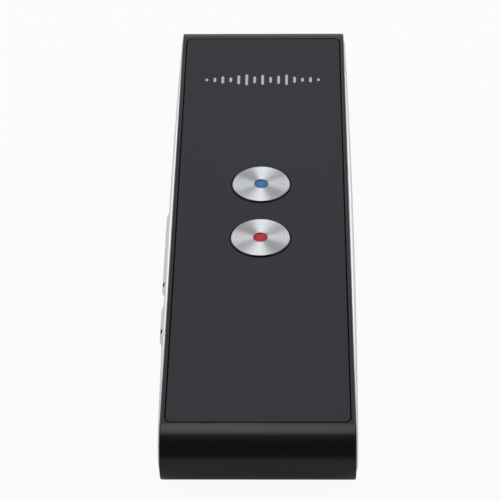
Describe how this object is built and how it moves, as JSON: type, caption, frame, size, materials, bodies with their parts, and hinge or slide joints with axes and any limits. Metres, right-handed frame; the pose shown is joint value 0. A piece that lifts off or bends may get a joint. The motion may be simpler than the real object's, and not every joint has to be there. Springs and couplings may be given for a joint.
{
  "type": "handheld voice translator",
  "caption": "Flat bar-shaped handheld voice translator: black metal case, inset face, round spun-metal talk buttons, silver side covers with keys, charging socket and rear grille.",
  "frame": {"origin": "middle of the back face, the flat face that the device rests on", "axes": "+Z out of the face with the talk buttons, +Y along the case towards the charging socket, +X to the right, so the side keys are on the -X side"},
  "size_m": [0.0405, 0.145, 0.0131],
  "materials": {
    "case_metal": "satin black anodised",
    "panel_black": "fine matt, dark grey",
    "silver_shell": "satin silver paint",
    "spun_metal": "spun face with a bright bevel",
    "blue_enamel": "blue enamel",
    "red_enamel": "red enamel",
    "adhesive_tape": "matt",
    "inner_plastic": "moulded, matt",
    "pale_plastic": "moulded, satin",
    "board_laminate": "solder mask",
    "plated_steel": "tin plated",
    "chip_resin": "moulded resin",
    "part_ceramic": "fired ceramic",
    "flex_film": "amber film",
    "battery_foil": "crimped foil pouch",
    "foam_white": "foam",
    "foam_black": "foam",
    "rubber_black": "moulded rubber",
    "woven_mesh": "fine woven mesh",
    "lead_sleeve": "extruded sleeve"
  },
  "bodies": {
    "case": {"outer_case": "case_metal", "front_panel": "panel_black", "front_panel_tape": "adhesive_tape", "back_panel": "panel_black", "back_panel_tape": "adhesive_tape", "left_side_cover": "silver_shell", "right_side_cover": "silver_shell", "inner_frame": "inner_plastic", "chamber_lid": "inner_plastic", "main_board": "board_laminate", "shield_can": "plated_steel", "processor_chip": "chip_resin", "memory_chip": "chip_resin", "board_parts": "part_ceramic", "blue_switch_body": "inner_plastic", "red_switch_body": "inner_plastic", "side_switch_board": "board_laminate", "side_switch_bodies": "inner_plastic", "volume_switch_stems": "pale_plastic", "side_flex": "flex_film", "antenna_strip": "flex_film", "battery_cell": "battery_foil", "battery_protection_board": "board_laminate", "battery_pad": "foam_white", "battery_leads": "lead_sleeve", "battery_connector": "pale_plastic", "speaker": "plated_steel", "speaker_gasket": "foam_black", "speaker_mesh": "woven_mesh", "speaker_leads": "lead_sleeve", "microphone": "plated_steel", "microphone_boot": "rubber_black", "usb_shell": "plated_steel", "usb_tongue": "inner_plastic", "board_screws": "plated_steel", "case_screws": "plated_steel"},
    "blue_button": {"blue_button_cap": "spun_metal", "blue_button_dot": "blue_enamel", "blue_button_carrier": "inner_plastic", "blue_switch_stem": "pale_plastic"},
    "red_button": {"red_button_cap": "spun_metal", "red_button_dot": "red_enamel", "red_button_carrier": "inner_plastic", "red_switch_stem": "pale_plastic"},
    "volume_rocker": {"volume_key": "silver_shell"},
    "power_button": {"power_key": "silver_shell", "power_switch_stem": "pale_plastic"}
  },
  "joints": [
    {"name": "blue_button_press", "type": "slide", "parent": "case", "child": "blue_button", "axis": [0, 0, -1], "range_m": [0, 0.0004], "stiffness_N_per_m": 300, "springref_m": -0.0004},
    {"name": "red_button_press", "type": "slide", "parent": "case", "child": "red_button", "axis": [0, 0, -1], "range_m": [0, 0.0004], "stiffness_N_per_m": 300, "springref_m": -0.0004},
    {"name": "volume_key_rock", "type": "hinge", "parent": "case", "child": "volume_rocker", "pos_m": [-0.0158, -0.007, 0.0064], "axis": [0, 0, 1], "range_deg": [-1.2, 1.2], "stiffness_Nm_per_rad": 0.02},
    {"name": "power_key_press", "type": "slide", "parent": "case", "child": "power_button", "axis": [1, 0, 0], "range_m": [0, 0.00025], "stiffness_N_per_m": 300, "springref_m": -0.0004}
  ]
}
